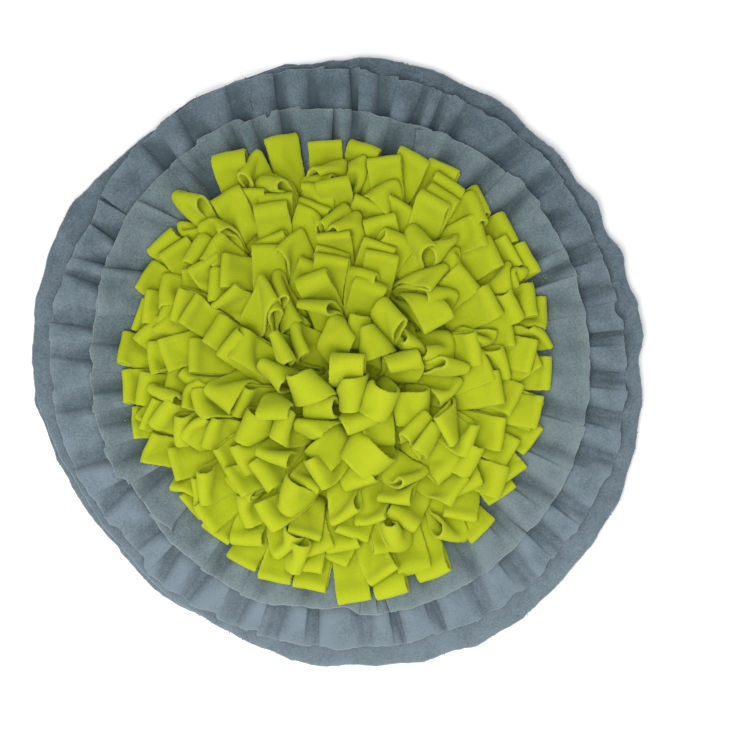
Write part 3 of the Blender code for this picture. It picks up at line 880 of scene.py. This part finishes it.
def look_up(table, radius, angle):
    """Values of a relief table at radii (mm) and angles (deg), between its rows and columns."""
    row = np.clip(radius - MAP_START, 0.0, MAP_LAST)
    column = (angle * PER_DEGREE) % MAP_COLUMNS
    r = row.astype(int)
    c = column.astype(int) % MAP_COLUMNS
    after = (c + 1) % MAP_COLUMNS
    u = row - r
    v = column - np.floor(column)
    near = table[r, c] * (1 - v) + table[r, after] * v
    far = table[r + 1, c] * (1 - v) + table[r + 1, after] * v
    return near * (1 - u) + far * u


def painted_relief_shade(points, broad):
    """Painted light and shade on the pleated cloth: its crests tinted paler and its hollows darker than the
    cloth around.
    """
    radius = np.hypot(points[:, 0], points[:, 1])
    angle = np.degrees(np.arctan2(points[:, 1], points[:, 0])) % 360.0
    return PAINTED_SHADE_PER_MM * np.clip(points[:, 2] - look_up(broad, radius, angle), -6.0, 4.0)


def round_cloth(column, bottom, lifted, rng):
    """Grid of a round of fleece, fine near its cut edge."""
    columns = 360
    angle = np.arange(columns) * 360.0 / columns
    rim = around(BASE_RIM, angle, column)
    lift = around(BASE_RIM, angle, 3) if lifted else 0 * angle
    shares = np.concatenate([[0.02, 0.3, 0.6, 0.8], np.linspace(0.86, 1.0, 10)])
    radius = rim[:, None] * shares[None, :]
    back = rim[:, None] - radius
    turn = np.radians(angle)[:, None]
    height = bottom + HALF_ROUND + lift[:, None] * smooth_step(1.0 - back / LIFTED_RIM)
    for order in RIM_WAVES:
        phase = rng.uniform(0, 6.28)
        wave = np.sin(order * turn + phase)
        radius = radius + WAVE_OUT * wave * smooth_step(1.0 - back / 20.0)
        if lifted:
            up = WAVE_UP * (1 + np.cos(order * turn + phase * 2))
            height = height + up * smooth_step(1.0 - back / 16.0)
    return np.stack([radius * np.cos(turn), radius * np.sin(turn), height], -1)


def rounds(look, rng):
    """The two rounds of grey fleece at the bottom."""
    for name, column, bottom, lifted in (
        ("base_lower", 1, 0.0, False), ("base_upper", 2, UPPER_BOTTOM, True),
    ):
        grid = round_cloth(column, bottom, lifted, rng)
        parts = [(*thick(grid, HALF_ROUND, rng, 0.25, wrap=True), 0.0)]
        parts.append((*fluff(grid, HALF_ROUND, rng, 300, (-1,), 0.4), -0.05))
        # painted light: the rounds' tint is made paler towards 270 deg and darker opposite
        made = make_mesh(name + "_cloth", parts, look, name, "grey_fleece")


def ruffles(outer_look, inner_look, rng):
    """The two pleated ruffles; returns the map of their height."""
    under = None
    laid = []
    # painted light for each ruffle: how much its tint is made paler, and towards which angle (deg)
    for name, pleats, reach, seam, strips, look, painted_lit_side in (
        ("ruffle_outer", OUTER, EDGE_REACH_OUTER, OUTER_SEAM, OUTER_STRIPS, outer_look, (0.17, 266.0)),
        ("ruffle_inner", INNER, EDGE_REACH_INNER, INNER_SEAM, INNER_STRIPS, inner_look, (0.13, 290.0)),
    ):
        parts = []
        for strip in strips:
            grid = ruffle_strip(pleats, reach, seam, under, strip, rng)
            laid.append(grid)
            parts.append(thick(grid, HALF_RUFFLE, rng, 0.12))
        under = relief(laid)
        # painted light and shade: crests paler and creases darker, by their height over the broad relief
        parts = [(*part, painted_relief_shade(part[0], under[1]) + rng.uniform(-0.03, 0.03)) for part in parts]
        parts += [(*fluff(grid, HALF_RUFFLE, rng, 60, (-1,), 0.45), 0.0) for grid in laid[-len(strips):]]
        made = make_mesh(name + "_cloth", parts, look, name, "grey_ruffle_fleece", *painted_lit_side)
    return under[0]


def fine_strip(grid):
    """A settled strip, smoothed, with twice as many lines away from its seams."""
    for _ in range(SMOOTHING):
        inner = grid[1:-1] * 0.5 + (grid[:-2] + grid[2:]) * 0.25
        grid = np.concatenate([grid[:1], inner, grid[-1:]])
    return np.concatenate([grid[:6], between(grid[6:-6]), grid[-6:]])


def loop_rings(under, look, rng):
    """The rings of loops, each with the band that it is sewn down with."""
    points, ring = settle(under)
    for number in range(len(RINGS)):
        parts = []
        for settled in points[ring == number]:
            grid = fine_strip(settled)
            parts.append((*thick(grid, HALF_STRIP, rng, 0.13), float(rng.uniform(-0.06, 0.06))))
            parts.append((*fluff(grid, HALF_STRIP, rng, 9, (0, -1), 0.5), 0.0))
        parts.append((*thick(sewn_band(number), HALF_BAND, rng, wrap=True), 0.0))
        if number == 0:
            parts.append((*lint(under, rng), 0.0))
        name = f"loop_ring_{number + 1:02d}"
        # painted light: the loops' tint is made paler towards 300 deg and darker opposite
        made = make_mesh(name + "_cloth", parts, look, name, "lime_fleece", 0.2, 300.0)


def build():
    """Make every piece of the mat."""
    rng = np.random.default_rng(SEED + 1)
    lime = fleece("lime_fleece_look", LIME_DARK, LIME_LIGHT, LIME_PALE, 60.0, 900.0, 0.25, 0.10)
    grey = fleece("grey_fleece_look", GREY_DARK, GREY_LIGHT, GREY_PALE, 85.0, 700.0, 0.35)
    pleated = fleece("grey_ruffle_look", GREY_DARK, GREY_LIGHT, GREY_PALE, 70.0, 700.0, 0.35)
    warm = fleece("grey_inner_ruffle_look", WARM_DARK, WARM_LIGHT, GREY_PALE, 60.0, 700.0, 0.35)
    rounds(grey, rng)
    under = ruffles(pleated, warm, rng)
    loop_rings(under, lime, rng)


def sewn_band(number):
    """Grid of the flat band that a ring of loops is sewn down with, halfway to its neighbours."""
    radius, loops, _ = RINGS[number]
    outer = radius + BAND_EDGE
    inner = BAND_HOLE
    if number > 0:
        outer = (RINGS[number - 1][0] + radius) / 2.0 - BAND_GAP
    if number + 1 < len(RINGS):
        inner = (RINGS[number + 1][0] + radius) / 2.0 + BAND_GAP
    turn = np.linspace(0.0, 2.0 * math.pi, max(24, 2 * loops), endpoint=False)[:, None]
    radii = np.array([[inner, outer]])
    height = np.full((len(turn), 2), BAND_HEIGHT)
    return np.stack([radii * np.cos(turn), radii * np.sin(turn), height], -1)


def lint(under, rng):
    """Bits that the strips have shed, lying on the inner ruffle."""
    spots = []
    for angle, radius, number in LINT:
        for _ in range(number):
            turn = math.radians(angle + rng.normal(0.0, 0.6))
            out = radius + rng.normal(0.0, 1.5)
            height = look_up(under, np.array(out), np.array(math.degrees(turn) % 360.0))
            spots.append((out * math.cos(turn), out * math.sin(turn), float(height) + 0.2))
    return bits(np.array(spots), rng.uniform(0.15, 0.45, len(spots)), rng)


build()


# ------------------------------------------------------------------ floor, light and camera
def area_light(name, spot, size, power, colour):
    """A soft square light aimed at the mat."""
    lamp = bpy.data.lights.new(name, "AREA")
    lamp.shape = "SQUARE"
    lamp.size = size
    lamp.energy = power
    lamp.color = colour
    made = bpy.data.objects.new(name, lamp)
    made.location = spot
    made.rotation_euler = (Vector((0, 0, 0)) - Vector(spot)).to_track_quat("-Z", "Y").to_euler()
    bpy.context.scene.collection.objects.link(made)


def studio():
    """White floor, soft light from the lower left and a camera straight above."""
    scene = bpy.context.scene
    bpy.ops.mesh.primitive_plane_add(size=6.0, location=(0, 0, -0.0005))
    floor = bpy.context.object
    floor.name = "floor"
    look = bpy.data.materials.new("white_floor")
    look.use_nodes = True
    shader = look.node_tree.nodes["Principled BSDF"]
    shader.inputs["Base Color"].default_value = (0.96, 0.96, 0.96, 1.0)
    shader.inputs["Roughness"].default_value = 0.9
    floor.data.materials.append(look)
    world = bpy.data.worlds.new("studio")
    scene.world = world
    world.use_nodes = True
    background = world.node_tree.nodes["Background"]
    background.inputs["Color"].default_value = (0.96, 0.98, 1.0, 1.0)
    background.inputs["Strength"].default_value = 0.75
    area_light("key", (-0.32, -0.70, 0.80), 0.9, 5.0, (1.0, 0.94, 0.88))
    area_light("overhead", (-0.20, -0.30, 1.50), 1.0, 10.8, (1.0, 0.99, 0.97))
    scene.view_settings.view_transform = "Standard"
    scene.view_settings.look = "None"
    lens = bpy.data.cameras.new("camera")
    lens.lens = 85.0
    lens.sensor_width = 36.0
    camera = bpy.data.objects.new("camera", lens)
    scene.collection.objects.link(camera)
    camera.location = (0.0227, -0.0038, 1.319)
    camera.rotation_euler = (0.0, 0.0, 0.0)
    scene.camera = camera


studio()
